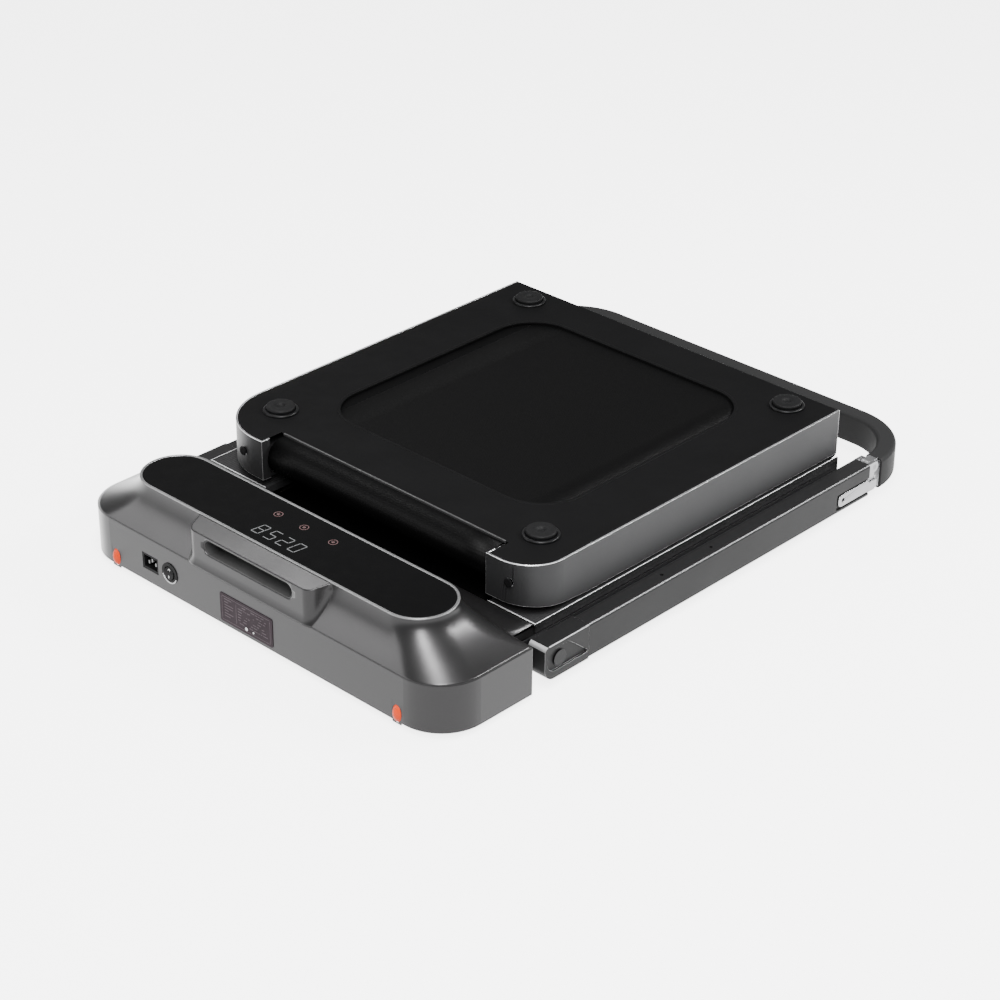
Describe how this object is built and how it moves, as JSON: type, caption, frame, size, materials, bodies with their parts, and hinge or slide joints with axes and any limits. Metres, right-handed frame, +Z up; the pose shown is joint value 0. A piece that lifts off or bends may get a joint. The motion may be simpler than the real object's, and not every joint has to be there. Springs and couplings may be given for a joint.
{
  "type": "folding walking treadmill",
  "caption": "Folding walking treadmill stored flat: motor housing with display, deck halves hinged at the fold end, side handrail tubes and a U-shaped handle.",
  "frame": {"origin": "on the floor under the middle of the folded machine", "axes": "X across the machine, +Y from the motor housing to the fold end, +Z up"},
  "size_m": [0.718, 1.022, 0.1604],
  "materials": {
    "frame_steel": "satin black powder coat",
    "band_paint": "satin gunmetal paint",
    "housing_paint": "gunmetal metallic lacquer",
    "black_plastic": "fine grain black",
    "pan_plastic": "fine grain black",
    "panel_gloss": "gloss black",
    "bright_trim": "satin anodised",
    "board_wood": "black coated fibreboard",
    "belt_rubber": "woven textured belt",
    "foot_rubber": "moulded rubber",
    "steel": "brushed",
    "latch_metal": "satin silver",
    "motor_black": "semi gloss",
    "circuit": "solder mask",
    "heat_alloy": "milled",
    "wheel_orange": "orange moulded",
    "rail_paint": "satin graphite anodised",
    "handle_paint": "satin graphite anodised",
    "plate_print": "printed dark label"
  },
  "bodies": {
    "front_unit": {"side_rails_front": "frame_steel", "cross_tubes_front": "frame_steel", "foot_rails_front": "black_plastic", "deck_trim_front": "bright_trim", "running_board_front": "board_wood", "bottom_pan": "frame_steel", "feet_front": "foot_rubber", "bridge_cover": "black_plastic", "walking_belt_front": "belt_rubber", "belt_fold": "belt_rubber", "front_axle": "steel", "motor_can": "motor_black", "drive_belt": "belt_rubber", "motor_bracket": "steel", "housing_base": "housing_paint", "housing_cover": "housing_paint", "display_rim": "bright_trim", "display_panel": "panel_gloss", "display_board": "circuit", "grip_liner": "black_plastic", "controller_board": "circuit", "heat_sink": "heat_alloy", "power_inlet": "black_plastic", "switch_bezel": "black_plastic", "data_plate": "plate_print", "wheel_axles": "steel", "hinge_bases": "steel", "hinge_pins": "steel", "pivot_brackets": "frame_steel", "pivot_pins": "steel"},
    "rear_deck": {"rear_side_left": "band_paint", "rear_side_right": "band_paint", "rear_pan": "pan_plastic", "side_rails_rear": "frame_steel", "cross_tubes_rear": "frame_steel", "foot_rails_rear": "black_plastic", "running_board_rear": "board_wood", "walking_belt_rear": "belt_rubber", "rear_axle": "steel", "axle_blocks": "heat_alloy", "tension_bolts": "steel", "feet_rear": "foot_rubber", "hinge_leaves": "steel"},
    "front_drum": {"front_roller": "steel", "front_bearings": "steel", "roller_pulley": "heat_alloy"},
    "motor_drum": {"motor_rotor": "steel"},
    "rear_drum": {"rear_roller": "steel", "rear_bearings": "steel"},
    "rocker": {"switch_rocker": "black_plastic"},
    "left_wheel": {"wheel_left": "wheel_orange"},
    "right_wheel": {"wheel_right": "wheel_orange"},
    "handrail": {"rail_tubes": "rail_paint", "rail_ends": "rail_paint", "fold_brackets": "latch_metal", "fold_pins": "steel"},
    "handle": {"handle_bar": "handle_paint", "handle_lugs": "latch_metal"},
    "left_latch": {"latch_left": "latch_metal"},
    "right_latch": {"latch_right": "latch_metal"}
  },
  "joints": [
    {"name": "deck_fold", "type": "hinge", "parent": "front_unit", "child": "rear_deck", "pos_m": [0, 0.344, 0.0802], "axis": [-1, 0, 0], "range_deg": [0, 140], "deforming": ["belt_fold"]},
    {"name": "front_roller_spin", "type": "hinge", "parent": "front_unit", "child": "front_drum", "pos_m": [0.016, -0.311, 0.0374], "axis": [1, 0, 0], "continuous": true},
    {"name": "rear_roller_spin", "type": "hinge", "parent": "rear_deck", "child": "rear_drum", "pos_m": [0.016, -0.268, 0.123], "axis": [1, 0, 0], "continuous": true},
    {"name": "motor_spin", "type": "hinge", "parent": "front_unit", "child": "motor_drum", "pos_m": [-0.11, -0.414, 0.043], "axis": [1, 0, 0], "continuous": true},
    {"name": "power_rocker", "type": "hinge", "parent": "front_unit", "child": "rocker", "pos_m": [-0.162, -0.503, 0.0435], "axis": [1, 0, 0], "range_deg": [-7, 7]},
    {"name": "left_wheel_spin", "type": "hinge", "parent": "front_unit", "child": "left_wheel", "pos_m": [-0.278, -0.494, 0.0215], "axis": [1, 0, 0], "continuous": true},
    {"name": "right_wheel_spin", "type": "hinge", "parent": "front_unit", "child": "right_wheel", "pos_m": [0.278, -0.494, 0.0215], "axis": [1, 0, 0], "continuous": true},
    {"name": "handrail_raise", "type": "hinge", "parent": "front_unit", "child": "handrail", "pos_m": [0, -0.289, 0.041], "axis": [1, 0, 0], "range_deg": [0, 90]},
    {"name": "handle_fold", "type": "hinge", "parent": "handrail", "child": "handle", "pos_m": [0, 0.387, 0.057], "axis": [1, 0, 0], "range_deg": [0, 90]},
    {"name": "left_latch_swing", "type": "hinge", "parent": "handrail", "child": "left_latch", "pos_m": [-0.3534, 0.386, 0.031], "axis": [0, 0, -1], "range_deg": [0, 60]},
    {"name": "right_latch_swing", "type": "hinge", "parent": "handrail", "child": "right_latch", "pos_m": [0.3534, 0.386, 0.031], "axis": [0, 0, 1], "range_deg": [0, 60]}
  ],
  "couplings": [
    {"joint": "motor_spin", "follows": "front_roller_spin", "ratio": 1.8276}
  ]
}
